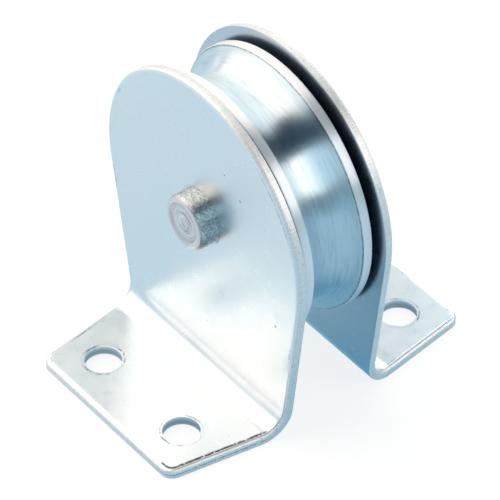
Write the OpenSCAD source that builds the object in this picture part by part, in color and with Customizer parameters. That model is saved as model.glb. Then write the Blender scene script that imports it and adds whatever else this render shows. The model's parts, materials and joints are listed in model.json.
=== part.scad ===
// Upright rope pulley block.
// Two mirrored L-shaped sheet brackets stand on a flat base and hold a fixed axle pin between
// their cheeks. A grooved sheave turns on the pin in a shielded ball bearing, with one spacer
// on each side of it.
//
// Frame: millimetres, +Z up. The origin is the centre of the block on its base plane. The axle
// lies along Y, the near bracket is at -Y, and the rope runs in the XZ plane.

/* [Brackets] */
// Thickness of the bracket sheet
sheet_t = 2.3; // [1.8:0.1:3]
// Clear distance between the two cheeks
cheek_gap = 21.2; // [20:0.1:26]
// Radius of the round top of each cheek
cheek_top_r = 34.4; // [32.5:0.1:36]
// Height of the axle above the base
axle_h = 45.5; // [42:0.5:50]
// Angle at which each side of the flat blank narrows towards the foot
side_taper = 9; // [2:0.5:10]
// Inside radius of the bend between cheek and foot
bend_r = 5; // [2:0.5:6]
// Reach of each foot from the outer face of its cheek
foot_reach = 28.1; // [27:0.1:36]
// Radius of the two outer corners of each foot
foot_corner_r = 3; // [1:0.5:5]

/* [Base bolts] */
// Diameter of each bolt hole
bolt_hole_d = 8.5; // [5:0.1:9]
// Distance between the two holes of one foot
bolt_spacing_x = 29; // [24:0.5:30]
// Distance between the hole rows of the two feet
bolt_spacing_y = 61; // [58:0.5:64]

/* [Axle] */
// Diameter of the axle pin
axle_d = 12.7; // [10:0.1:14]
// Length of pin that stands out of each cheek
axle_stand_out = 4.9; // [1:0.1:8]
// Chamfer at each end of the pin
axle_chamfer = 0.7; // [0.3:0.1:1.5]
// Depth of the shallow dish in each end face
axle_dish = 0.35; // [0.1:0.05:0.8]
// Outer diameter of the two spacers
spacer_d = 17; // [14:0.5:17.5]

/* [Sheave] */
// Outer diameter of the sheave
sheave_d = 63.5; // [60:0.5:64]
// Width of the sheave over both rims
sheave_w = 18.3; // [16:0.1:19]
// Width of the rope groove at its mouth
groove_mouth_w = 13.8; // [12.5:0.1:14.5]
// Radius of the groove's round floor
groove_floor_r = 7.4; // [6:0.1:8]
// Angle of each groove wall from a plane across the axle
groove_flare = 33; // [28:1:40]
// Chamfer on the rim edges
rim_chamfer = 0.5; // [0.2:0.1:0.8]
// Bore through the shoulder that stops the bearing
shoulder_bore_d = 28; // [26:0.5:29]

/* [Bearing] */
// Outer diameter of the ball bearing
bearing_d = 32; // [31:0.5:32.5]
// Width of the ball bearing
bearing_w = 10; // [9.6:0.2:12]
// Diameter of the circle through the ball centres
pitch_d = 22; // [21.6:0.1:22.4]
// Diameter of each ball
ball_d = 5.953; // [5.5:0.001:6]
// Radial play between a ball and each raceway
ball_play = 0.015; // [0.01:0.005:0.05]
// Thickness of the cage sheet
cage_t = 0.5; // [0.4:0.05:0.6]

/* [Hidden] */
$fn = 96;

NEAR = -1;
FAR = 1;

// Bracket places: the cheek's outer face, the centre line of the bend, and the foot's end
cheek_outer_y = cheek_gap / 2 + sheet_t;
bend_y = cheek_outer_y + bend_r;
bend_z = sheet_t + bend_r;
foot_end_y = cheek_outer_y + foot_reach;

// The flat blank narrows in one straight line, so widths follow the distance run along the
// blank from the axle, through the bend and out along the foot
neutral_line = 0.45;
bend_run = (bend_r + neutral_line * sheet_t) * PI / 2;
run_to_bend = axle_h - bend_z;
run_to_foot = run_to_bend + bend_run;
run_to_end = run_to_foot + foot_reach - bend_r;

// Sheave and bearing places
groove_wall_start = groove_floor_r * cos(groove_flare);
groove_wall_rise = (groove_mouth_w / 2 - groove_wall_start) / tan(groove_flare);
groove_depth = groove_floor_r * (1 - sin(groove_flare)) + groove_wall_rise;
groove_floor_d = sheave_d - 2 * groove_depth;

// Retaining ring in its groove, beside the bearing
ring_t = 1.2;
ring_groove_w = 1.3;
ring_groove_d = 33.7;
ring_inner_r = 14.3;
ring_offset = 0.45;
ring_gap_w = 9;
ring_lug_r = 2;
ring_lug_hole_r = 0.9;
ring_lug_angle = 20;

// Bearing section
inner_ring_d = 18;
outer_ring_bore_d = 26.6;
ring_chamfer = 0.6;
race_r = 0.52 * ball_d;
inner_race_bottom = pitch_d / 2 - ball_d / 2 - ball_play;
outer_race_bottom = pitch_d / 2 + ball_d / 2 + ball_play;
shield_seat_d = 27.8;
shield_bore_d = 18.6;
shield_t = 0.4;
shield_y = 4.25;
shield_lip = 0.35;
ball_count = 7;
ball_step = 360 / ball_count;
cage_w = 2.2;
cage_ball_play = 0.08;
rivet_d = 1;
rivet_head_d = 1.8;
rivet_head_t = 0.4;

zinc = [0.80, 0.85, 0.89];
bright_zinc = [0.86, 0.89, 0.92];
raw_steel = [0.62, 0.62, 0.64];
race_steel = [0.72, 0.74, 0.76];
dark_steel = [0.30, 0.30, 0.32];

// Half the blank's width at a run below the axle
function half_width(run) = cheek_top_r / cos(side_taper) - run * tan(side_taper);

// A right-hand outline completed with its mirror image across the second axis
function both_sides(points) = concat(
    points,
    [for (i = [len(points) - 1 : -1 : 0]) [-points[i][0], points[i][1]]]
);

// Places a part drawn around +Z onto the axle, with its +Z towards the far bracket
module on_axle() {
    translate([0, 0, axle_h]) rotate([-90, 0, 0]) children();
}

// Turns a part that is drawn for the far side into its near-side twin
module on_side(side) {
    mirror([0, side == NEAR ? 1 : 0, 0]) children();
}

// A turned part: an outline of [radius, place along the axle], spun round the axle
module turned(outline) {
    rotate_extrude() polygon(outline);
}

// The L-shaped section of a bracket, in Y and Z
module bracket_section() {
    translate([cheek_outer_y - sheet_t, bend_z])
        square([sheet_t, axle_h + cheek_top_r - bend_z + 1]);
    translate([bend_y, 0]) square([foot_end_y - bend_y + 1, sheet_t]);
    intersection() {
        translate([bend_y, bend_z]) difference() {
            circle(r = bend_r + sheet_t);
            circle(r = bend_r);
        }
        translate([bend_y - bend_z, 0]) square([bend_z, bend_z]);
    }
}

// The cheek seen along the axle, in X and Z: a round top on sides that narrow to the foot
module cheek_outline() {
    translate([0, axle_h]) circle(r = cheek_top_r, $fn = 180);
    polygon(both_sides([
        [cheek_top_r * cos(side_taper), axle_h - cheek_top_r * sin(side_taper)],
        [half_width(run_to_bend), bend_z],
        [half_width(run_to_foot), sheet_t],
        [half_width(run_to_foot), 0]
    ]));
}

// The foot seen from above, in X and Y: it narrows to two rounded corners
module foot_outline() {
    end_half = half_width(run_to_end);
    corner_x = end_half + foot_corner_r * (tan(side_taper) - 1 / cos(side_taper));
    corner_y = foot_end_y - foot_corner_r;
    polygon(both_sides([
        [half_width(run_to_foot), bend_y],
        [
            corner_x + foot_corner_r * cos(side_taper),
            corner_y + foot_corner_r * sin(side_taper)
        ],
        [corner_x, foot_end_y]
    ]));
    for (x = [-corner_x, corner_x])
        translate([x, corner_y]) circle(r = foot_corner_r);
}

module bracket(side) {
    wide = 2 * cheek_top_r + 2;
    on_side(side) difference() {
        intersection() {
            rotate([90, 0, 90]) linear_extrude(wide, center = true) bracket_section();
            union() {
                translate([0, bend_y, 0]) rotate([90, 0, 0])
                    linear_extrude(bend_y) cheek_outline();
                translate([0, 0, -1]) linear_extrude(sheet_t + 2) foot_outline();
            }
        }
        on_axle() cylinder(d = axle_d, h = bend_y);
        for (x = [-1, 1] * bolt_spacing_x / 2)
            translate([x, bolt_spacing_y / 2, -1]) cylinder(d = bolt_hole_d, h = sheet_t + 2);
    }
}

module near_bracket() {
    color(zinc) bracket(NEAR);
}

module far_bracket() {
    color(zinc) bracket(FAR);
}

// Solid pin, pressed through both cheeks, with a shallow dish turned in each end
module axle_pin() {
    r = axle_d / 2;
    end_z = cheek_outer_y + axle_stand_out;
    dish_r = r - axle_chamfer - 1;
    color(raw_steel) on_axle() turned([
        [0, -end_z + axle_dish], [dish_r, -end_z], [r - axle_chamfer, -end_z],
        [r, -end_z + axle_chamfer], [r, end_z - axle_chamfer],
        [r - axle_chamfer, end_z], [dish_r, end_z], [0, end_z - axle_dish]
    ]);
}

// Tube between a cheek and the bearing's inner ring
module spacer(side) {
    bore_play = 0.1;
    on_side(side) on_axle() translate([0, 0, bearing_w / 2]) difference() {
        cylinder(d = spacer_d, h = cheek_gap / 2 - bearing_w / 2);
        translate([0, 0, -1]) cylinder(d = axle_d + 2 * bore_play, h = cheek_gap / 2);
    }
}

module near_spacer() {
    color(raw_steel) spacer(NEAR);
}

module far_spacer() {
    color(raw_steel) spacer(FAR);
}

// Section of the rope groove: a round floor between two flared walls
module groove_section() {
    floor_r = groove_floor_d / 2;
    rim_r = sheave_d / 2;
    over = 1;
    translate([floor_r + groove_floor_r, 0]) circle(r = groove_floor_r);
    wall_r = floor_r + groove_floor_r * (1 - sin(groove_flare));
    mouth = groove_mouth_w / 2 + over * tan(groove_flare);
    polygon([
        [wall_r, -groove_wall_start], [rim_r + over, -mouth],
        [rim_r + over, mouth], [wall_r, groove_wall_start]
    ]);
}

// Grooved wheel: the bearing sits against a shoulder and is kept in by the retaining ring
module sheave() {
    rim_r = sheave_d / 2;
    half_w = sheave_w / 2;
    color(bright_zinc) on_axle() difference() {
        rotate_extrude() difference() {
            polygon([
                [0, -half_w], [rim_r - rim_chamfer, -half_w], [rim_r, -half_w + rim_chamfer],
                [rim_r, half_w - rim_chamfer], [rim_r - rim_chamfer, half_w], [0, half_w]
            ]);
            groove_section();
        }
        translate([0, 0, -sheave_w]) cylinder(d = shoulder_bore_d, h = 2 * sheave_w);
        translate([0, 0, -bearing_w / 2]) cylinder(d = bearing_d, h = sheave_w);
        translate([0, 0, bearing_w / 2]) cylinder(d = ring_groove_d, h = ring_groove_w);
    }
}

// Internal spring ring with two lugs for ring pliers
module retaining_ring() {
    lug_place = ring_groove_d / 2 - ring_lug_r - 0.5;
    color(dark_steel) on_axle() translate([0, 0, bearing_w / 2]) linear_extrude(ring_t)
        difference() {
            union() {
                difference() {
                    circle(d = ring_groove_d);
                    translate([0, ring_offset]) circle(r = ring_inner_r);
                    translate([-ring_gap_w / 2, 0]) square([ring_gap_w, ring_groove_d]);
                }
                for (side = [-1, 1])
                    rotate(side * ring_lug_angle) translate([0, lug_place]) circle(r = ring_lug_r);
            }
            for (side = [-1, 1])
                rotate(side * ring_lug_angle) translate([0, lug_place])
                    circle(r = ring_lug_hole_r);
        }
}

module bearing_outer_ring() {
    half_w = bearing_w / 2;
    outer = bearing_d / 2;
    inner = outer_ring_bore_d / 2;
    seat = shield_seat_d / 2;
    color(race_steel) on_axle() rotate_extrude() difference() {
        polygon([
            [inner, -half_w], [outer - ring_chamfer, -half_w], [outer, -half_w + ring_chamfer],
            [outer, half_w - ring_chamfer], [outer - ring_chamfer, half_w], [inner, half_w]
        ]);
        translate([outer_race_bottom - race_r, 0]) circle(r = race_r);
        for (y = [-shield_y - shield_t, shield_y])
            translate([inner - 1, y]) square([seat - inner + 1, shield_t]);
    }
}

module bearing_inner_ring() {
    half_w = bearing_w / 2;
    outer = inner_ring_d / 2;
    inner = axle_d / 2;
    color(race_steel) on_axle() rotate_extrude() difference() {
        polygon([
            [inner + ring_chamfer, -half_w], [outer, -half_w], [outer, half_w],
            [inner + ring_chamfer, half_w], [inner, half_w - ring_chamfer],
            [inner, -half_w + ring_chamfer]
        ]);
        translate([inner_race_bottom + race_r, 0]) circle(r = race_r);
    }
}

// Thin disc held in the outer ring, with a lip that runs just clear of the inner ring
module shield(side) {
    bore = shield_bore_d / 2;
    rim = shield_seat_d / 2;
    on_side(side) on_axle() turned([
        [bore, shield_y - shield_lip], [bore + shield_t, shield_y - shield_lip],
        [bore + shield_t, shield_y], [rim, shield_y],
        [rim, shield_y + shield_t], [bore, shield_y + shield_t]
    ]);
}

module near_shield() {
    color(race_steel) shield(NEAR);
}

module far_shield() {
    color(race_steel) shield(FAR);
}

// The places of the balls, or with a half step the places between them
module at_ball(index) {
    rotate(index * ball_step) translate([pitch_d / 2, 0, 0]) children();
}

// Half of the pressed cage: a flat ribbon that swells into a pocket round each ball
module cage_half(side) {
    pocket_r = ball_d / 2 + cage_ball_play;
    on_side(side) on_axle() difference() {
        intersection() {
            union() {
                cylinder(d = pitch_d + 2 * cage_w, h = cage_t);
                for (i = [0 : ball_count - 1])
                    at_ball(i) sphere(r = pocket_r + cage_t);
            }
            difference() {
                cylinder(d = pitch_d + cage_w, h = ball_d);
                translate([0, 0, -1]) cylinder(d = pitch_d - cage_w, h = ball_d + 2);
            }
        }
        for (i = [0 : ball_count - 1])
            at_ball(i) sphere(r = pocket_r);
        for (i = [0 : ball_count - 1])
            at_ball(i + 0.5) translate([0, 0, -1]) cylinder(d = rivet_d, h = ball_d);
    }
}

module near_cage_half() {
    color(raw_steel) cage_half(NEAR);
}

module far_cage_half() {
    color(raw_steel) cage_half(FAR);
}

// Seven rivets that join the cage halves between the balls
module cage_rivets() {
    color(raw_steel) on_axle() for (i = [0 : ball_count - 1])
        at_ball(i + 0.5) {
            translate([0, 0, -cage_t]) cylinder(d = rivet_d, h = 2 * cage_t);
            for (z = [-cage_t - rivet_head_t, cage_t])
                translate([0, 0, z]) cylinder(d = rivet_head_d, h = rivet_head_t);
        }
}

module ball(number) {
    color(race_steel) on_axle() at_ball(number - 1) sphere(d = ball_d);
}

near_bracket();
far_bracket();
axle_pin();
near_spacer();
far_spacer();
sheave();
retaining_ring();
bearing_outer_ring();
bearing_inner_ring();
near_shield();
far_shield();
near_cage_half();
far_cage_half();
cage_rivets();
ball(1);  // ball_1
ball(2);  // ball_2
ball(3);  // ball_3
ball(4);  // ball_4
ball(5);  // ball_5
ball(6);  // ball_6
ball(7);  // ball_7
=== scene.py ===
"""Looks of the upright rope pulley block: zinc-plated brackets, turned sheave, pin and bearing.

Lengths are in millimetres while a mesh is being worked out, and in metres, in the CAD frame,
once it is made: +Z up, the axle along Y, the near bracket at -Y.
"""

import json
import math

import bmesh
import bpy
from mathutils import Matrix, Vector, noise
from mathutils.geometry import delaunay_2d_cdt


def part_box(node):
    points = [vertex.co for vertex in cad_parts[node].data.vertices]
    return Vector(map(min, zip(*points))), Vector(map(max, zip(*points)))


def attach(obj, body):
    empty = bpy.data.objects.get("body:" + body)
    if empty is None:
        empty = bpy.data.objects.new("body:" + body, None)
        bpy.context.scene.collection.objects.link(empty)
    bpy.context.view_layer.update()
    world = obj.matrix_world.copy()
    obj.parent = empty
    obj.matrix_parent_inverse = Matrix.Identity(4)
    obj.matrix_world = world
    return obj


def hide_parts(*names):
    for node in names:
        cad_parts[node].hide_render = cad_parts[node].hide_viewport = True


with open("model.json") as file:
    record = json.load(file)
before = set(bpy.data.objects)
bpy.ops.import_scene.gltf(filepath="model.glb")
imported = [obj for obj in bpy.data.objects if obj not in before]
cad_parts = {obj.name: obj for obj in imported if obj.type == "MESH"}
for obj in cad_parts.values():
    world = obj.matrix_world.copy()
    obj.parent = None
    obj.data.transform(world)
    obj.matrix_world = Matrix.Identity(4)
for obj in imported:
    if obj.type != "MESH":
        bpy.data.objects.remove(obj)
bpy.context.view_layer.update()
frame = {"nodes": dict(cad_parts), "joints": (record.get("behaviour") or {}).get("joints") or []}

MM = 0.001
NEAR = -1
FAR = 1


def low(node):
    """Lowest corner of a CAD node, in millimetres."""
    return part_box(node)[0] / MM


def high(node):
    """Highest corner of a CAD node, in millimetres."""
    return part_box(node)[1] / MM


# ---------------------------------------------------------------- sizes, in millimetres

# Places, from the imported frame
AXLE_H = frame["joints"][0]["pos_m"][2] / MM
FOOT_END_Y = high("far_bracket").y
CHEEK_INNER_Y = low("far_bracket").y
CHEEK_TOP_R = high("far_bracket").z - AXLE_H
AXLE_R = high("axle_pin").z - AXLE_H
AXLE_END_Y = high("axle_pin").y
SHEAVE_R = high("sheave").z - AXLE_H
SHEAVE_HALF_W = high("sheave").y

# Bracket sheet
SHEET_T = 2.3
TAPER = math.radians(9)
BEND_R = 5
NEUTRAL_LINE = 0.45  # share of the thickness, from the inside of the bend
FOOT_CORNER_R = 3
BOLT_HOLE_R = 8.5 / 2
BOLT_X = 29 / 2
BOLT_Y = 61 / 2

# Sheave
GROOVE_MOUTH_W = 13.8
GROOVE_FLOOR_R = 7.4
GROOVE_FLARE = math.radians(33)
SHOULDER_BORE_R = 14
BEARING_R = 16
BEARING_HALF_W = 5
RING_GROOVE_R = 33.7 / 2
RING_GROOVE_W = 1.3

# Pin
PIN_SKIN_T = 0.25
PIN_EDGE_ROUND = 1.4

# Places that follow from them
CHEEK_OUTER_Y = CHEEK_INNER_Y + SHEET_T
BEND_Y = CHEEK_OUTER_Y + BEND_R
BEND_Z = SHEET_T + BEND_R
BEND_RUN = (BEND_R + NEUTRAL_LINE * SHEET_T) * math.pi / 2
RUN_TO_BEND = AXLE_H - BEND_Z
RUN_TO_FOOT = RUN_TO_BEND + BEND_RUN
RUN_TO_END = RUN_TO_FOOT + FOOT_END_Y - BEND_Y
PIN_SKIN_R = AXLE_R + PIN_SKIN_T
PIN_FACE_R = PIN_SKIN_R - PIN_EDGE_ROUND


# ---------------------------------------------------------------- mesh helpers


def spaced(start, end, step):
    """Evenly spaced values from start to end, about a step apart."""
    count = max(1, round(abs(end - start) / step))
    return [start + (end - start) * i / count for i in range(count + 1)]


def face_outwards(mesh):
    """Turns every face of a closed mesh to look out of it."""
    work = bmesh.new()
    work.from_mesh(mesh)
    bmesh.ops.recalc_face_normals(work, faces=work.faces)
    work.to_mesh(mesh)
    work.free()


def mesh_object(name, points, faces, material, body, replaced):
    """A smooth-shaded piece from points in millimetres, which rides on a body for a CAD node."""
    mesh = bpy.data.meshes.new(name)
    mesh.from_pydata([Vector(p) * MM for p in points], [], faces)
    mesh.validate()
    mesh.shade_smooth()
    face_outwards(mesh)
    mesh.materials.append(material)
    piece = bpy.data.objects.new(name, mesh)
    bpy.context.scene.collection.objects.link(piece)
    weighted = piece.modifiers.new("weighted_normals", "WEIGHTED_NORMAL")
    weighted.keep_sharp = True
    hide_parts(replaced)
    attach(piece, body)
    return piece


def mark(piece, name, values):
    """Stores one number per point, which the piece's material reads by name."""
    layer = piece.data.attributes.new(name, "FLOAT", "POINT")
    layer.data.foreach_set("value", values)


def joined(rings):
    """Faces that join each ring of point numbers to the next."""
    faces = []
    for here, there in zip(rings, rings[1:]):
        for i in range(len(here)):
            j = (i + 1) % len(here)
            faces.append((here[i], here[j], there[j], there[i]))
    return faces


def filleted(corners, step):
    """An outline through (radius, place, fillet) corners, with each fillet as an arc."""
    path = []
    count = len(corners)
    for i, (r, y, fillet) in enumerate(corners):
        here = Vector((r, y))
        if fillet == 0:
            path.append(here)
            continue
        before = (Vector(corners[i - 1][:2]) - here).normalized()
        after = (Vector(corners[(i + 1) % count][:2]) - here).normalized()
        half = before.angle(after) / 2
        centre = here + (before + after).normalized() * fillet / math.sin(half)
        start = here + before * fillet / math.tan(half) - centre
        end = here + after * fillet / math.tan(half) - centre
        turn = math.pi - 2 * half
        sign = 1 if start.x * end.y - start.y * end.x > 0 else -1
        for angle in spaced(0, sign * turn, step / fillet):
            spin = Matrix.Rotation(angle, 2)
            path.append(centre + spin @ start)
    return path


def densified(path, step):
    """The same closed outline with extra points, so that none is much more than a step apart."""
    dense = []
    for here, there in zip(path, path[1:] + path[:1]):
        count = max(1, round((there - here).length / step))
        dense += [here.lerp(there, i / count) for i in range(count)]
    return dense


# ---------------------------------------------------------------- brackets


def half_width(run):
    """Half the flat blank's width at a distance run down the blank from the axle."""
    return CHEEK_TOP_R / math.cos(TAPER) - run * math.tan(TAPER)


def arc(x, run, radius, angles):
    """Points of an arc round (x, run), as (x, run, outward x, outward run)."""
    return [
        (x + radius * math.cos(a), run + radius * math.sin(a), math.cos(a), math.sin(a))
        for a in angles
    ]


def blank_outline():
    """Points round the flat blank as (x, run, outward x, outward run)."""
    step = 0.9
    corner_turn = 0.2
    corner_run = RUN_TO_END - FOOT_CORNER_R
    corner_x = half_width(RUN_TO_END) + FOOT_CORNER_R * (math.tan(TAPER) - 1 / math.cos(TAPER))
    side = (math.cos(TAPER), math.sin(TAPER))
    top_angles = [-a for a in spaced(-TAPER, math.pi + TAPER, step / CHEEK_TOP_R)]
    top = arc(0, 0, CHEEK_TOP_R, top_angles)
    side_start = CHEEK_TOP_R * math.sin(TAPER)
    side_end = corner_run + FOOT_CORNER_R * math.sin(TAPER)
    rows = spaced(side_start, RUN_TO_BEND, step)[1:] + spaced(RUN_TO_BEND, RUN_TO_FOOT, step)[1:]
    rows += spaced(RUN_TO_FOOT, side_end, step)[1:-1]
    right = [(half_width(run), run, *side) for run in rows]
    corner_angles = spaced(TAPER, math.pi / 2, corner_turn)
    corner = arc(corner_x, corner_run, FOOT_CORNER_R, corner_angles)
    end = [(x, RUN_TO_END, 0, 1) for x in spaced(-corner_x, corner_x, step)[1:-1]]

    def mirrored(points):
        return [(-x, run, -out_x, out_run) for x, run, out_x, out_run in points]

    return top + mirrored(right + corner) + end + corner[::-1] + right[::-1]


def round_hole(x, run, radius):
    """Points round a hole, with the direction out of the sheet's material towards its centre."""
    step = 0.6
    circle = arc(x, run, radius, spaced(0, 2 * math.pi, step / radius)[:-1])
    return [(px, p_run, -out_x, -out_run) for px, p_run, out_x, out_run in circle]


# A sheared edge is a stack of rings. Those painted with shade, with how much, are the first two
# where it rolls over and the one where its torn part starts: the burr's shadow and dark
# reflections.
ROLL_STEPS = 8
FRACTURE_RING = ROLL_STEPS + 3
PAINTED_SHADE_RINGS = {1: 1.0, 2: 1.0, FRACTURE_RING: 0.9}

# Shares of the sheet's thickness, from the outer face
SMOOTH_PART = 0.46
TORN_PARTS = (0.54, 0.65, 0.76)


def sheared_edge(roll_over, burr):
    """Section of a sheared edge as (inset, depth), from the outer face to the inner face.

    The edge is rolled over where the punch entered, then smooth, then torn and a little
    further in, and it ends in a small burr.
    """
    fracture = 0.05
    outer_margin = 0.6
    inner_margin = 0.5
    roll_depth = 0.8 * roll_over
    quarter = [i / ROLL_STEPS * math.pi / 2 for i in range(ROLL_STEPS + 1)]
    section = [(roll_over + outer_margin, 0)]
    section += [(roll_over * (1 - math.sin(a)), roll_depth * (1 - math.cos(a))) for a in quarter]
    section.append((0, SHEET_T * SMOOTH_PART))
    section += [(fracture, SHEET_T * part) for part in TORN_PARTS]
    section += [
        (fracture + burr * (1 - math.cos(a)), SHEET_T - burr * (1 - math.sin(a)))
        for a in quarter
    ]
    section.append((fracture + burr + inner_margin, SHEET_T))
    return section


def folded(x, run, depth, side):
    """Where a point of the flat blank lies on the bent bracket. Depth 0 is its outer face."""
    if run <= RUN_TO_BEND:
        out, up = CHEEK_OUTER_Y - depth, AXLE_H - run
    elif run < RUN_TO_FOOT:
        angle = (run - RUN_TO_BEND) / BEND_RUN * math.pi / 2
        reach = BEND_R + depth
        out, up = BEND_Y - reach * math.cos(angle), BEND_Z - reach * math.sin(angle)
    else:
        out, up = BEND_Y + run - RUN_TO_FOOT, SHEET_T - depth
    return (x, side * out, up)


def waviness(x, run, seed):
    """How far the sheet is out of flat: a hundredth of a millimetre, over a few centimetres."""
    height = 0.012
    length = 19
    return height * noise.noise(Vector((x / length, run / length, seed)))


def torn(x, run, depth, seed):
    """Roughness of the torn part of a sheared edge, in millimetres."""
    first = 0.47 * SHEET_T
    last = 0.9 * SHEET_T
    if not first < depth < last:
        return 0
    height = 0.05
    detail = 1.6
    layer = depth * 3 + seed
    return height * noise.noise(Vector((x * detail, run * detail, layer)))


def painted_edge_shade(x, run, side, seed):
    """How much painted shade, the burr's shadow, the sheet's edge gets from 0 to 1: most along one
    side of the near foot.
    """
    patch = 9
    side_strip = 4
    fade_in = 4
    fade_start = RUN_TO_FOOT - 5
    patchy = 0.5 + noise.noise(Vector((x / patch, run / patch, seed)))
    if side == FAR or x < half_width(run) - side_strip:
        return 0.5 * patchy
    on_foot = min(1, max(0, (run - fade_start) / fade_in))
    return min(1, 0.5 * patchy + on_foot * (0.35 + 0.5 * patchy))


def inside_grid(holes):
    """Points inside the flat blank, in rows across it, clear of its edge and its holes."""
    step = 1.7
    bend_step = 0.7
    margin = 2.2
    rows = spaced(-CHEEK_TOP_R, RUN_TO_BEND, step)
    rows += spaced(RUN_TO_BEND, RUN_TO_FOOT, bend_step)[1:]
    rows += spaced(RUN_TO_FOOT, RUN_TO_END, step)[1:]
    grid = []
    for run in rows:
        for x in spaced(-CHEEK_TOP_R, CHEEK_TOP_R, step):
            room = min(
                (half_width(run) - abs(x)) * math.cos(TAPER),
                RUN_TO_END - run,
                CHEEK_TOP_R - math.hypot(x, run) if run < 0 else margin,
            )
            clear = all(math.hypot(x - hx, run - hr) > radius + margin for hx, hr, radius in holes)
            if room >= margin and clear:
                grid.append((x, run))
    return grid


class Sheet:
    """The mesh of one bracket while it is being made: its points, faces and point values."""

    def __init__(self, side, seed):
        self.side = side
        self.seed = seed
        self.points = []
        self.faces = []
        self.marks = {"edge": [], "hole": [], "painted_edge_shade": [], "along": []}

    def add(self, x, run, depth, **marks):
        """Adds a point of the flat blank, folded to its place, and gives its number."""
        lift = waviness(x, run, self.seed)
        self.points.append(folded(x, run, depth + lift, self.side))
        for name, values in self.marks.items():
            values.append(marks.get(name, 0.0))
        return len(self.points) - 1

    def add_ring(self, loop, inset, depth, painted_shade, is_hole):
        """Adds one ring of a sheared edge, and gives its point numbers and flat places."""
        roll_over_end = 0.2
        burr_start = SHEET_T - 0.05
        on_wall = 1.0 if roll_over_end < depth < burr_start else 0.0
        numbers = []
        places = []
        along = 0.0
        last = loop[-1]
        for x, run, out_x, out_run in loop:
            along += math.hypot(x - last[0], run - last[1])
            last = (x, run)
            pull = inset + torn(x, run, depth, self.seed)
            place = (x - out_x * pull, run - out_run * pull)
            marks = {
                "edge": on_wall,
                "hole": on_wall if is_hole else 0.0,
                "painted_edge_shade": 0.0 if is_hole else painted_shade * painted_edge_shade(x, run, self.side, self.seed),
                "along": along,
            }
            numbers.append(self.add(*place, depth, **marks))
            places.append(place)
        return numbers, places

    def add_edge(self, loop, section, is_hole):
        """Adds the sheared edge along a loop, and gives its borders on the two faces."""
        rings = [
            self.add_ring(loop, inset, depth, PAINTED_SHADE_RINGS.get(i, 0.0), is_hole)
            for i, (inset, depth) in enumerate(section)
        ]
        self.faces += joined([numbers for numbers, places in rings])
        return rings[0], rings[-1]

    def add_face(self, depth, borders, holes):
        """Adds one flat face between the borders of the blank and its holes.

        A triangle is left out when its middle lies in a hole. A hole's border is a little wider
        than the hole, so some slivers along it are kept, and they are a fault.
        """
        inside_borders = 1
        same_place = 1e-5
        numbers, flat, walls = [], [], []
        for ring, places in borders:
            start = len(flat)
            count = len(ring)
            numbers += ring
            flat += places
            walls += [(start + i, start + (i + 1) % count) for i in range(count)]
        for x, run in inside_grid(holes):
            numbers.append(self.add(x, run, depth))
            flat.append((x, run))
        spots, _, triangles, sources, _, _ = delaunay_2d_cdt(
            [Vector(place) for place in flat], walls, [], inside_borders, same_place
        )
        for triangle in triangles:
            middle = sum((spots[i] for i in triangle), Vector((0, 0))) / 3
            if all(math.hypot(middle.x - x, middle.y - run) > r for x, run, r in holes):
                self.faces.append(tuple(numbers[sources[i][0]] for i in triangle))


def bracket(node, side, seed, material):
    """An L-shaped bracket: a punched flat blank with sheared edges, folded through its bend."""
    bolt_run = RUN_TO_FOOT + BOLT_Y - BEND_Y
    pin_hole = (0, 0, AXLE_R)
    bolt_holes = [(-BOLT_X, bolt_run, BOLT_HOLE_R), (BOLT_X, bolt_run, BOLT_HOLE_R)]
    holes = [pin_hole] + bolt_holes
    sheet = Sheet(side, seed)
    outside = sheared_edge(roll_over=1.2, burr=0.14)
    hole_wall = sheared_edge(roll_over=0.08, burr=0.05)
    edges = [sheet.add_edge(blank_outline(), outside, is_hole=False)]
    edges += [sheet.add_edge(round_hole(*hole), hole_wall, is_hole=True) for hole in holes]
    sheet.add_face(0, [outer for outer, inner in edges], holes)
    sheet.add_face(SHEET_T, [inner for outer, inner in edges], holes)
    name = node + "_sheet"
    piece = mesh_object(name, sheet.points, sheet.faces, material, "frame", node)
    for layer, values in sheet.marks.items():
        mark(piece, layer, values)


# ---------------------------------------------------------------- turned pieces


def turned(outline, segments, rough):
    """Points and faces of a closed outline spun round the axle. rough moves points outwards."""
    points = []
    for s in range(segments):
        angle = 2 * math.pi * s / segments
        for spot in outline:
            radius = spot.x + rough(spot.x, spot.y, angle)
            points.append((radius * math.cos(angle), spot.y, AXLE_H + radius * math.sin(angle)))
    count = len(outline)
    rings = [range(s * count, (s + 1) * count) for s in range(segments)]
    return points, joined(rings + rings[:1])


def groove_points(step):
    """The rope groove from the near rim to the far rim, as (radius, place)."""
    wall_start = GROOVE_FLOOR_R * math.cos(GROOVE_FLARE)
    wall_rise = (GROOVE_MOUTH_W / 2 - wall_start) / math.tan(GROOVE_FLARE)
    depth = GROOVE_FLOOR_R * (1 - math.sin(GROOVE_FLARE)) + wall_rise
    centre_r = SHEAVE_R - depth + GROOVE_FLOOR_R
    reach = math.pi / 2 - GROOVE_FLARE
    return [
        Vector((centre_r - GROOVE_FLOOR_R * math.cos(a), GROOVE_FLOOR_R * math.sin(a)))
        for a in spaced(-reach, reach, step / GROOVE_FLOOR_R)
    ]


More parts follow.
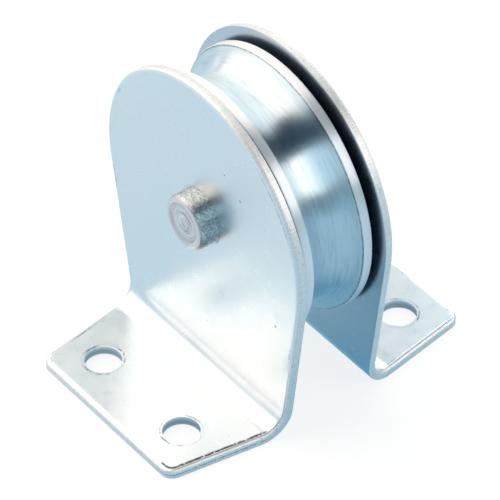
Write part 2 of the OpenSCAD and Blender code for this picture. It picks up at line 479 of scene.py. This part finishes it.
def sheave_outline():
    """The wheel's section as (radius, place): rims, rope groove, bearing seat and ring groove."""
    half = SHEAVE_HALF_W
    mouth = GROOVE_MOUTH_W / 2
    rim_round = 0.45
    lip_round = 0.18
    bore_round = 0.3
    lip_inset = 0.55
    wall_slope = 0.001
    ring_groove_end = BEARING_HALF_W + RING_GROOVE_W
    near_rim = [
        (SHOULDER_BORE_R, -half, bore_round),
        (SHEAVE_R, -half, rim_round),
        (SHEAVE_R, -mouth, lip_round),
    ]
    far_rim = [
        (SHEAVE_R, mouth, lip_round),
        (SHEAVE_R, half, rim_round),
        (RING_GROOVE_R - lip_inset, half, bore_round),
        (BEARING_R, ring_groove_end + wall_slope, 0),
        (RING_GROOVE_R, ring_groove_end, 0),
        (RING_GROOVE_R, BEARING_HALF_W, 0),
        (BEARING_R, BEARING_HALF_W, 0),
        (BEARING_R, -BEARING_HALF_W, 0),
        (SHOULDER_BORE_R, -BEARING_HALF_W, 0),
    ]
    groove = [(point.x, point.y, 0) for point in groove_points(step=0.16)]
    return densified(filleted(near_rim + groove + far_rim, step=0.12), step=0.8)


def turning_marks(radius, y, angle):
    """How far the lathe tool's marks stand out of the wheel: most in the rope groove."""
    in_groove = abs(y) < GROOVE_MOUTH_W / 2 and radius > BEARING_R + 3
    height = 0.006 if in_groove else 0.0015
    detail = 2.1
    round_detail = 0.25
    spot = Vector((radius * detail, y * detail, round_detail * math.cos(angle)))
    return height * noise.noise(spot)


def sheave(material):
    """The grooved wheel, with its bearing seat and the groove for the retaining ring."""
    points, faces = turned(sheave_outline(), segments=300, rough=turning_marks)
    mesh_object("sheave_wheel", points, faces, material, "sheave", "sheave")


def pin_end_dip(radius):
    """How far the pin's end is dished, with the low rings that the tool left in it."""
    dish = 0.35
    ring_height = 0.035
    ring_spacing = 1.5
    rings = ring_height * math.sin(radius * 2 * math.pi / ring_spacing)
    return dish * (1 - (radius / PIN_FACE_R) ** 2) + rings * (1 - radius / PIN_FACE_R)


def pin_profile():
    """The pin's outline from its near end to its far end, as (radius, place, grain).

    Its ends are dished, and its skin is torn where it stands out of the cheeks. The grain is
    how rough each point is, in millimetres.
    """
    end = AXLE_END_Y
    first_r = 0.3
    face_step = 0.15
    edge_turn = 0.2
    edge_grain = 0.01
    skin_step = 0.13
    skin_grain = 0.02
    in_cheek = CHEEK_OUTER_Y - 0.3
    half = [(r, end - pin_end_dip(r), 0.0) for r in spaced(first_r, PIN_FACE_R, face_step)]
    for angle in spaced(0, math.pi / 2, edge_turn)[1:]:
        inwards = PIN_EDGE_ROUND * (1 - math.cos(angle))
        half.append((PIN_FACE_R + PIN_EDGE_ROUND * math.sin(angle), end - inwards, edge_grain))
    for place in spaced(end - PIN_EDGE_ROUND, CHEEK_OUTER_Y, skin_step)[1:]:
        half.append((PIN_SKIN_R, place, skin_grain))
    half += [(AXLE_R, place, 0.0) for place in (in_cheek, CHEEK_INNER_Y, 0)]
    near_half = [(radius, -place, grain) for radius, place, grain in half]
    return near_half + half[-2::-1]


def axle_pin(material):
    """The pin: its profile spun round the axle, and a point in the middle of each end."""
    segments = 240
    round_detail = 11
    long_detail = 1.9
    fading, lacunarity, octaves = 0.7, 2.1, 4
    points, rings = [], []
    for radius, place, grain in pin_profile():
        ring = []
        for i in range(segments):
            angle = 2 * math.pi * i / segments
            around = Vector((math.cos(angle), 0, math.sin(angle)))
            spot = around * round_detail + Vector((0, place * long_detail, 0))
            rough = radius + grain * noise.fractal(spot, fading, lacunarity, octaves)
            ring.append(len(points))
            points.append(around * rough + Vector((0, place, AXLE_H)))
        rings.append(ring)
    faces = joined(rings)
    middle = AXLE_END_Y - pin_end_dip(0)
    for ring, place in ((rings[0], -middle), (rings[-1], middle)):
        centre = len(points)
        points.append((0, place, AXLE_H))
        faces += [(ring[i], ring[(i + 1) % segments], centre) for i in range(segments)]
    mesh_object("pin_skin", points, faces, material, "frame", "axle_pin")


# ---------------------------------------------------------------- materials


# A mix node's colour sockets share their names with its other sockets, so they go by number.
MIX_FIRST = 6
MIX_SECOND = 7
MIX_RESULT = 2


def shaded(colour, share):
    """The colour, darkened to a share of its brightness."""
    return tuple(part * share for part in colour[:3]) + (1,)


class Nodes:
    """The node tree of a material or the world, with a short way to add and join its nodes."""

    def __init__(self, owner, shader):
        owner.use_nodes = True
        self.owner = owner
        self.tree = owner.node_tree
        self.shader = self.tree.nodes[shader]

    def add(self, kind, settings=None, **inputs):
        """Adds a node. Each input is a value or an output to join."""
        node = self.tree.nodes.new("ShaderNode" + kind)
        for key, value in (settings or {}).items():
            setattr(node, key, value)
        for key, value in inputs.items():
            self.feed(node.inputs[key.replace("_", " ")], value)
        return node

    def feed(self, socket, value):
        """Sets an input to a value, or joins an output to it."""
        if isinstance(value, bpy.types.NodeSocket):
            self.tree.links.new(value, socket)
        else:
            socket.default_value = value

    def place(self):
        """The point on the object, in metres."""
        return self.add("TexCoord").outputs["Object"]

    def math(self, operation, first, second=0.0):
        """One arithmetic step."""
        node = self.add("Math", {"operation": operation})
        self.feed(node.inputs[0], first)
        self.feed(node.inputs[1], second)
        return node.outputs[0]

    def stretched(self, scale, turn=(0, 0, 0)):
        """The point on the object, turned and then scaled along each axis."""
        turned_by = tuple(math.radians(angle) for angle in turn)
        node = self.add("Mapping", Vector=self.place(), Rotation=turned_by)
        wide = self.add("Mapping", Vector=node.outputs[0], Scale=scale)
        return wide.outputs[0]

    def noise(self, size, detail=2.0, rough=0.5, vector=None, fourth=None):
        """Noise between 0 and 1 whose features are about size millimetres across."""
        node = self.add("TexNoise", Scale=1 / (size * MM), Detail=detail, Roughness=rough)
        self.feed(node.inputs["Vector"], vector or self.place())
        if fourth:
            node.noise_dimensions = "4D"
            self.feed(node.inputs["W"], fourth)
        return node.outputs["Fac"]

    def levels(self, value, from_low, from_high, to_low, to_high):
        """Rescales a value, kept within the new range."""
        old = {"From_Min": from_low, "From_Max": from_high}
        new = {"To_Min": to_low, "To_Max": to_high}
        return self.add("MapRange", {"clamp": True}, Value=value, **old, **new).outputs[0]

    def blend(self, share, first, second):
        """A mix of two colours."""
        node = self.add("Mix", {"data_type": "RGBA"}, Factor=share)
        self.feed(node.inputs[MIX_FIRST], first)
        self.feed(node.inputs[MIX_SECOND], second)
        return node.outputs[MIX_RESULT]

    def ramp(self, value, low_end, high_end, stops):
        """Colours along a value that runs from low_end to high_end, with stops at given values."""
        spread = self.add("MapRange", Value=value, From_Min=low_end, From_Max=high_end)
        ramp = self.add("ValToRGB", Fac=spread.outputs[0])
        elements = ramp.color_ramp.elements
        for i, (at, colour) in enumerate(stops):
            stop = elements[i] if i < 2 else elements.new(1.0)
            stop.position = (at - low_end) / (high_end - low_end)
            stop.color = (*colour, 1)
        return ramp.outputs["Color"]

    def mark(self, name):
        """The number that the mesh holds for each point under a name."""
        return self.add("Attribute", {"attribute_name": name}).outputs["Fac"]

    def bump(self, height, depth, below=None):
        """A bump of a height between 0 and 1 over a depth in millimetres."""
        node = self.add("Bump", Strength=1.0, Distance=depth * MM, Height=height)
        if below:
            self.feed(node.inputs["Normal"], below)
        return node.outputs[0]


def material_nodes(name):
    """The nodes of a new material."""
    return Nodes(bpy.data.materials.new(name), "Principled BSDF")


def from_axle(nodes):
    """A point's distances from the middle of the axle in metres: across, along it and up."""
    parts = nodes.add("SeparateXYZ", Vector=nodes.place())
    up = nodes.math("SUBTRACT", parts.outputs["Z"], AXLE_H * MM)
    return parts.outputs["X"], parts.outputs["Y"], up


def axle_radius(nodes):
    """Distance of a point from the axle, in metres."""
    across, _, up = from_axle(nodes)
    square = nodes.math("ADD", nodes.math("POWER", across, 2), nodes.math("POWER", up, 2))
    return nodes.math("SQRT", square)


# Zinc plating on the sheet: two shades in clouds, the inner faces in painted shade, the edges, and
# the hole walls in painted shade
ZINC_BLUE = (0.73, 0.80, 0.83, 1)
ZINC_LILAC = (0.77, 0.80, 0.82, 1)
ZINC_INNER_PAINTED_SHADE = (0.54, 0.61, 0.67, 1)
ZINC_EDGE = (0.86, 0.85, 0.82, 1)
ZINC_HOLE_PAINTED_SHADE = (0.42, 0.45, 0.47, 1)

# Zinc plating on the sheave: two shades in clouds, the tool lines, the rims with a painted
# highlight and the flat sides in painted shade
ZINC_TURNED = (0.70, 0.79, 0.83, 1)
ZINC_DEEP = (0.64, 0.76, 0.81, 1)
ZINC_LINE = (0.48, 0.59, 0.66, 1)
ZINC_RIM_PAINTED_HIGHLIGHT = (0.92, 0.94, 0.95, 1)
ZINC_SIDE_PAINTED_SHADE = (0.08, 0.18, 0.28, 1)

# Flaws in the plating. ZINC_DARK is also the painted shade along the sheet's rolled and torn edges
ZINC_DULL = (0.48, 0.53, 0.55, 1)
ZINC_DARK = (0.10, 0.11, 0.12, 1)


def scratches(nodes, turn, share):
    """Fine straight scratches in one direction, as a height that is 1 in each scratch."""
    long_way = nodes.stretched((1, 0.03, 1), turn)
    lines = nodes.noise(0.25, 0.0, 0.5, long_way)
    patches = nodes.noise(6.0, 1.0)
    thin = nodes.levels(lines, 0.74 - share, 0.80, 0, 1)
    return nodes.math("MULTIPLY", thin, nodes.levels(patches, 0.45, 0.62, 0, 1))


def edge_strokes(nodes):
    """Short strokes that the shear left across the sheet's edge."""
    way = nodes.add("CombineXYZ", X=nodes.math("MULTIPLY", nodes.mark("along"), MM)).outputs[0]
    return nodes.noise(0.4, 1.0, 0.6, way)


def rare_pits(nodes):
    """Small round pits that are there in a few patches only, as 1 in each pit."""
    spacing = 6.25
    pits = nodes.add(
        "TexVoronoi", {"feature": "F1"}, Vector=nodes.place(), Scale=1 / (spacing * MM)
    )
    pit = nodes.levels(pits.outputs["Distance"], 0.035, 0.06, 1, 0)
    patches = nodes.levels(nodes.noise(9, 0.0), 0.60, 0.64, 0, 1)
    return nodes.math("MULTIPLY", pit, patches)


def sheet_colour(nodes, edge, strokes, pits):
    """Soft colour clouds, painted shade on the inner faces, the hole walls and the edges' corners,
    streaky edges and pits.
    """
    clouds = nodes.levels(nodes.noise(28, 2.0), 0.35, 0.65, 0, 1)
    colour = nodes.blend(clouds, ZINC_BLUE, ZINC_LILAC)
    _, along, _ = from_axle(nodes)
    from_middle = nodes.math("ABSOLUTE", along)
    inner_y = CHEEK_INNER_Y * MM
    # Painted shade: the cheeks' inner faces, which face each other across the sheave, are darker
    # and bluer.
    inner = nodes.levels(from_middle, inner_y + 0.1 * MM, inner_y + 0.3 * MM, 1, 0)
    colour = nodes.blend(inner, colour, ZINC_INNER_PAINTED_SHADE)
    colour = nodes.blend(nodes.math("MULTIPLY", edge, 0.8), colour, ZINC_EDGE)
    # Painted shade inside the holes: their walls are darker.
    colour = nodes.blend(nodes.mark("hole"), colour, ZINC_HOLE_PAINTED_SHADE)
    specks = nodes.levels(nodes.noise(0.7, 3.0, 0.7), 0.60, 0.68, 0, 1)
    streaks = nodes.levels(strokes, 0.5, 0.62, 0, 1)
    for flaws, share in ((specks, 0.8), (streaks, 0.3)):
        on_edge = nodes.math("MULTIPLY", flaws, edge)
        colour = nodes.blend(nodes.math("MULTIPLY", on_edge, share), colour, ZINC_DULL)
    # Painted shade: dark patches on the rolled and torn rings, the burr's shadow and dark
    # reflections, most along one side of the near foot.
    broken = nodes.levels(nodes.noise(0.8, 3.0, 0.7), 0.35, 0.55, 0.3, 1)
    painted_shade = nodes.levels(nodes.math("MULTIPLY", nodes.mark("painted_edge_shade"), broken), 0.25, 0.7, 0, 1)
    colour = nodes.blend(painted_shade, colour, ZINC_DARK)
    return nodes.blend(nodes.math("MULTIPLY", pits, 0.7), colour, ZINC_DARK)


def sheet_relief(nodes, edge, strokes, pits):
    """Fine grain, scratches in two directions, torn and streaky edges, and pits."""
    height = nodes.bump(nodes.noise(0.9, 5.0, 0.6), 0.0025)
    height = nodes.bump(scratches(nodes, turn=(0, 35, 20), share=0.03), -0.003, height)
    height = nodes.bump(scratches(nodes, turn=(0, -50, 65), share=0.02), -0.003, height)
    torn_edge = nodes.math("MULTIPLY", nodes.noise(0.55, 4.0, 0.7), edge)
    height = nodes.bump(torn_edge, 0.08, height)
    height = nodes.bump(nodes.math("MULTIPLY", strokes, edge), 0.05, height)
    return nodes.bump(pits, -0.05, height)


def zinc_sheet_material():
    """Bright zinc plating on rolled sheet, hazier and rougher on its sheared edges."""
    nodes = material_nodes("zinc_plated_sheet")
    inputs = nodes.shader.inputs
    edge = nodes.mark("edge")
    strokes = edge_strokes(nodes)
    pits = rare_pits(nodes)
    nodes.feed(inputs["Base Color"], sheet_colour(nodes, edge, strokes, pits))
    haze = nodes.math("MULTIPLY", edge, 0.35)
    nodes.feed(inputs["Metallic"], nodes.math("SUBTRACT", 1.0, haze))
    rough = nodes.levels(nodes.noise(3.5, 4.0, 0.6), 0.3, 0.7, 0.26, 0.33)
    nodes.feed(inputs["Roughness"], nodes.math("ADD", rough, nodes.math("MULTIPLY", edge, 0.10)))
    nodes.feed(inputs["Normal"], sheet_relief(nodes, edge, strokes, pits))
    return nodes.owner


def turning_lines(nodes, size, pieces):
    """Fine lines that a lathe tool leaves round the axle, about size millimetres apart.

    Each line comes and goes about as many times in a full turn as there are pieces.
    """
    radius = axle_radius(nodes)
    across, along, up = from_axle(nodes)
    reach = pieces * size * MM / (2 * math.pi)
    scale = nodes.math("DIVIDE", reach, radius)
    across = nodes.math("MULTIPLY", across, scale)
    line = nodes.add("CombineXYZ", X=radius, Y=along, Z=across).outputs[0]
    return nodes.noise(size, 3.0, 0.65, line, nodes.math("MULTIPLY", up, scale))


def brushed_round_axle(nodes, amount):
    """Stretches reflections across the fine lines that run round the axle."""
    across, _, up = from_axle(nodes)
    around = nodes.add("CombineXYZ", X=up, Z=nodes.math("MULTIPLY", across, -1.0)).outputs[0]
    turned_with_piece = nodes.add(
        "VectorTransform",
        {"vector_type": "VECTOR", "convert_from": "OBJECT", "convert_to": "WORLD"},
        Vector=around,
    )
    nodes.feed(nodes.shader.inputs["Tangent"], turned_with_piece.outputs[0])
    nodes.shader.inputs["Anisotropic"].default_value = amount
    nodes.shader.inputs["Anisotropic Rotation"].default_value = 0.25


def turned_colour(nodes, lines, radius, on_rim):
    """Colour clouds with tool lines, flat sides dark with painted shade, rims pale with a painted
    highlight, and a dark lip by each rim.
    """
    clouds = nodes.levels(nodes.noise(18, 2.0), 0.35, 0.65, 0, 1)
    colour = nodes.blend(clouds, ZINC_TURNED, ZINC_DEEP)
    colour = nodes.blend(nodes.levels(lines, 0.50, 0.68, 0, 0.7), colour, ZINC_LINE)
    _, along, _ = from_axle(nodes)
    aside = nodes.math("ABSOLUTE", along)
    # Painted shade: the flat sides, in the narrow gap by the cheeks, are dark blue.
    painted_side_shade = nodes.levels(aside, (SHEAVE_HALF_W - 0.2) * MM, (SHEAVE_HALF_W - 0.1) * MM, 0, 1)
    colour = nodes.blend(painted_side_shade, colour, ZINC_SIDE_PAINTED_SHADE)
    # The pale rims are partly their hazier finish and partly a painted highlight.
    colour = nodes.blend(on_rim, colour, ZINC_RIM_PAINTED_HIGHLIGHT)
    lip = nodes.levels(radius, (SHEAVE_R - 0.55) * MM, (SHEAVE_R - 0.3) * MM, 0, 1)
    lip = nodes.math("MULTIPLY", lip, nodes.math("SUBTRACT", 1.0, on_rim))
    patchy = nodes.levels(nodes.noise(1.1, 3.0, 0.7), 0.3, 0.6, 0.2, 0.9)
    return nodes.blend(nodes.math("MULTIPLY", lip, patchy), colour, ZINC_DARK)


def turned_zinc_material():
    """Zinc plating over a turned surface, with tool lines round the axle, and hazier rims that are
    also paler with a painted highlight.
    """
    nodes = material_nodes("zinc_plated_turned")
    inputs = nodes.shader.inputs
    lines = turning_lines(nodes, size=0.55, pieces=25)
    radius = axle_radius(nodes)
    on_rim = nodes.levels(radius, (SHEAVE_R - 0.3) * MM, (SHEAVE_R - 0.1) * MM, 0, 1)
    nodes.feed(inputs["Base Color"], turned_colour(nodes, lines, radius, on_rim))
    haze = nodes.math("MULTIPLY", on_rim, 0.45)
    nodes.feed(inputs["Metallic"], nodes.math("SUBTRACT", 1.0, haze))
    rough = nodes.levels(lines, 0.3, 0.7, 0.29, 0.35)
    nodes.feed(inputs["Roughness"], nodes.math("ADD", rough, nodes.math("MULTIPLY", on_rim, 0.06)))
    brushed_round_axle(nodes, 1.0)
    height = nodes.bump(lines, 0.03)
    height = nodes.bump(turning_lines(nodes, size=0.2, pieces=60), 0.006, height)
    height = nodes.bump(nodes.noise(0.4, 4.0, 0.6), 0.006, height)
    rim_grain = nodes.math("MULTIPLY", nodes.noise(0.3, 3.0, 0.6), on_rim)
    nodes.feed(inputs["Normal"], nodes.bump(rim_grain, 0.02, height))
    return nodes.owner


def steel_material(name, colour, rough_low, rough_high, grain, depth):
    """Bare or finished steel with a grain of a size and depth in millimetres."""
    nodes = material_nodes(name)
    patches = nodes.levels(nodes.noise(2.2, 4.0, 0.6), 0.35, 0.65, 0, 1)
    colour = nodes.blend(patches, colour, shaded(colour, 0.72))
    nodes.feed(nodes.shader.inputs["Base Color"], colour)
    nodes.shader.inputs["Metallic"].default_value = 1.0
    rough = nodes.levels(nodes.noise(0.8, 4.0, 0.6), 0.3, 0.7, rough_low, rough_high)
    nodes.feed(nodes.shader.inputs["Roughness"], rough)
    height = nodes.bump(nodes.noise(grain, 4.0, 0.65), depth)
    height = nodes.bump(turning_lines(nodes, size=grain * 1.5, pieces=8), depth / 2, height)
    nodes.feed(nodes.shader.inputs["Normal"], height)
    return nodes.owner


def pin_material():
    """The pin's steel: light and dark grains on its rough skin, bright turned ends with near-black
    rings of painted dark reflection.
    """
    nodes = material_nodes("rough_pin_steel")
    radius = axle_radius(nodes)
    _, along, _ = from_axle(nodes)
    from_middle = nodes.math("ABSOLUTE", along)
    at_end = nodes.levels(from_middle, (AXLE_END_Y - 0.9) * MM, (AXLE_END_Y - 0.4) * MM, 0, 1)
    on_face = nodes.levels(radius, (PIN_SKIN_R - 0.7) * MM, (PIN_SKIN_R - 0.2) * MM, 1, 0)
    smooth = nodes.math("MULTIPLY", at_end, on_face)
    grains = nodes.levels(nodes.noise(0.5, 4.0, 0.75), 0.42, 0.58, 0, 1)
    skin = nodes.blend(grains, (0.66, 0.70, 0.70, 1), (0.30, 0.32, 0.33, 1))
    rings = turning_lines(nodes, size=0.7, pieces=3)
    face_tone = nodes.levels(rings, 0.35, 0.65, 0, 1)
    face = nodes.blend(face_tone, (0.80, 0.77, 0.78, 1), (0.48, 0.44, 0.46, 1))
    # Near-black rings on the ends: painted dark reflections.
    face = nodes.blend(nodes.levels(rings, 0.60, 0.67, 0, 0.85), face, (0.12, 0.10, 0.11, 1))
    nodes.feed(nodes.shader.inputs["Base Color"], nodes.blend(smooth, skin, face))
    nodes.shader.inputs["Metallic"].default_value = 1.0
    rough = nodes.levels(nodes.noise(0.6, 4.0, 0.7), 0.3, 0.7, 0.24, 0.40)
    nodes.feed(nodes.shader.inputs["Roughness"], rough)
    grain = nodes.math("SUBTRACT", 1.0, smooth)
    height = nodes.bump(nodes.math("MULTIPLY", nodes.noise(0.45, 4.0, 0.7), grain), 0.04)
    height = nodes.bump(rings, 0.05, height)
    nodes.feed(nodes.shader.inputs["Normal"], height)
    return nodes.owner


# ---------------------------------------------------------------- studio


def softbox(name, lean, distance, width, front, back, radiance, tint):
    """A soft panel that faces the axle and runs along it from front to back, in metres.

    Lean is the panel's angle from straight above the axle towards +X, in degrees.
    """
    light = bpy.data.lights.new(name, "AREA")
    light.shape = "RECTANGLE"
    light.size = back - front
    light.size_y = width
    light.color = tint
    light.energy = radiance * math.pi * width * (back - front)
    lamp = bpy.data.objects.new(name, light)
    angle = math.radians(lean)
    outwards = Vector((math.sin(angle), 0, math.cos(angle)))
    lamp.location = outwards * distance + Vector((0, (front + back) / 2, AXLE_H * MM))
    lamp.rotation_mode = "QUATERNION"
    lamp.rotation_quaternion = outwards.to_track_quat("Z", "Y")
    lamp.visible_camera = False
    bpy.context.scene.collection.objects.link(lamp)


def floor_disc(name, albedo):
    """A large round floor with a pale, faintly speckled, matt surface, and its nodes."""
    bpy.ops.mesh.primitive_circle_add(vertices=96, radius=2.5, fill_type="NGON")
    disc = bpy.context.object
    disc.name = name
    nodes = material_nodes(name)
    speck = nodes.levels(nodes.noise(4, 3.0), 0.3, 0.7, 0, 1)
    pale = (albedo, albedo, albedo, 1)
    nodes.feed(nodes.shader.inputs["Base Color"], nodes.blend(speck, pale, shaded(pale, 0.97)))
    nodes.shader.inputs["Roughness"].default_value = 0.9
    nodes.shader.inputs["Specular IOR Level"].default_value = 0.0
    disc.data.materials.append(nodes.owner)
    return disc, nodes


def floors():
    """The table that the metal reflects, which glows with painted light and painted shade, and a
    glowing sheet on it that the camera sees.
    """
    table, nodes = floor_disc("table", albedo=0.45)
    table.visible_camera = False
    # Painted light and shade in the table's glow: bright far to the left, a blue painted shade
    # from about 40 cm to the left up to the block's middle, and a deeper painted shade from there
    # to the right.
    across = nodes.add("SeparateXYZ", Vector=nodes.place()).outputs["X"]
    bright = (0.45, 0.43, 0.40)
    painted_blue_shade = (0.13, 0.205, 0.25)
    painted_deep_shade = (0.01, 0.115, 0.19)
    stops = [(-0.65, bright), (-0.40, painted_blue_shade), (-0.01, painted_blue_shade), (0.03, painted_deep_shade)]
    nodes.feed(nodes.shader.inputs["Emission Color"], nodes.ramp(across, -1, 1, stops))
    nodes.shader.inputs["Emission Strength"].default_value = 2.0
    sheet, nodes = floor_disc("glowing_sheet", albedo=0.25)
    nodes.shader.inputs["Emission Color"].default_value = (0.80, 0.80, 0.80, 1)
    nodes.shader.inputs["Emission Strength"].default_value = 1.0
    sheet.visible_glossy = False
    sheet.visible_diffuse = False
    sheet.visible_shadow = False
    sheet.location.z = 0.05 * MM


def surround():
    """The room: pale near the floor, and dim above it, darkest in a strip over the axle."""
    world = bpy.data.worlds.new("surround")
    bpy.context.scene.world = world
    nodes = Nodes(world, "Background")
    direction = nodes.add("TexCoord").outputs["Generated"]
    parts = nodes.add("SeparateXYZ", Vector=direction)
    lean = nodes.math("ARCTAN2", parts.outputs["X"], parts.outputs["Z"])

    # Angles from straight up towards +X, in radians
    dim = (0.42, 0.50, 0.52)
    dark = (0.02, 0.045, 0.08)
    teal = (0.27, 0.37, 0.44)
    quarter = math.pi / 2
    stops = [(-0.25, dim), (0.0, dark), (0.48, dark), (0.60, teal)]
    overhead = nodes.ramp(lean, -quarter, quarter, stops)

    # Parts of a direction that is 1 long: how far it points towards +X, and how far up
    horizon_stops = [(-0.2, (0.90, 0.85, 0.80)), (0.2, (0.27, 0.40, 0.45))]
    horizon = nodes.ramp(parts.outputs["X"], -1, 1, horizon_stops)
    low_stops = [(0.02, (1, 1, 1)), (0.08, (0, 0, 0))]
    near_floor = nodes.ramp(parts.outputs["Z"], 0, 0.1, low_stops)
    nodes.feed(nodes.shader.inputs["Color"], nodes.blend(near_floor, overhead, horizon))


def studio():
    """Soft panels to the left and right of a dark strip overhead, over a pale floor."""
    floors()
    surround()
    warm = (1.0, 0.82, 0.71)
    plain = (1.0, 0.97, 0.94)
    cool = (0.97, 0.99, 1.0)
    teal = (0.55, 0.80, 0.90)

    # Lean, distance and width of the panels on each side. Each panel adds its front and back,
    # its radiance and its tint.
    left = (-42.5, 0.75, 1.37)
    right = (54.5, 0.75, 0.52)
    softbox("left_back", *left, 0.51, 1.60, 1.32, cool)
    softbox("key", *left, -1.05, 0.26, 1.53, warm)
    softbox("left_front", *left, -1.90, -1.05, 0.85, plain)
    softbox("right_back", *right, 0.15, 2.00, 2.30, warm)
    softbox("right_front", *right, -2.00, 0.15, 0.70, teal)


def camera():
    """The camera: long lens, from the right and above, rolled about a degree."""
    azimuth = math.radians(53.2)
    elevation = math.radians(41.68)
    roll = math.radians(-1.17)
    aim = Vector((-0.32, 0.29, 27.78)) * MM
    distance = 0.9602
    back = Vector(
        (
            math.sin(azimuth) * math.cos(elevation),
            -math.cos(azimuth) * math.cos(elevation),
            math.sin(elevation),
        )
    )
    data = bpy.data.cameras.new("camera")
    data.sensor_width = 36
    data.lens = 314.1
    data.clip_start = 0.05
    data.clip_end = 20
    view = bpy.data.objects.new("camera", data)
    view.location = aim + back * distance
    view.rotation_mode = "QUATERNION"
    turned_by = (-back).to_track_quat("-Z", "Y").to_matrix() @ Matrix.Rotation(roll, 3, "Z")
    view.rotation_quaternion = turned_by.to_quaternion()
    bpy.context.scene.collection.objects.link(view)
    bpy.context.scene.camera = view


# ---------------------------------------------------------------- the block

zinc_sheet = zinc_sheet_material()
bracket("near_bracket", NEAR, seed=3.7, material=zinc_sheet)
bracket("far_bracket", FAR, seed=11.2, material=zinc_sheet)
sheave(turned_zinc_material())
axle_pin(pin_material())

# Colour, least and most roughness, and grain size and depth in millimetres
FINISHES = {
    "spacer_steel": ((0.55, 0.56, 0.58, 1), 0.25, 0.4, 0.5, 0.01),
    "race_steel": ((0.62, 0.62, 0.62, 1), 0.12, 0.22, 0.3, 0.002),
    "ball_steel": ((0.70, 0.70, 0.70, 1), 0.05, 0.10, 0.3, 0.0005),
    "cage_steel": ((0.50, 0.50, 0.50, 1), 0.28, 0.42, 0.4, 0.004),
    "shield_steel": ((0.60, 0.61, 0.62, 1), 0.2, 0.32, 0.4, 0.003),
    "spring_steel": ((0.06, 0.06, 0.07, 1), 0.35, 0.5, 0.4, 0.006),
}
finishes = {name: steel_material(name, *look) for name, look in FINISHES.items()}
for node in frame["nodes"].values():
    if node.hide_render:
        continue
    for material_slot in node.material_slots:
        cad_name = material_slot.material.name.split(".")[0]
        material_slot.material = finishes[cad_name]

studio()
camera()
bpy.context.scene.view_settings.view_transform = "Standard"
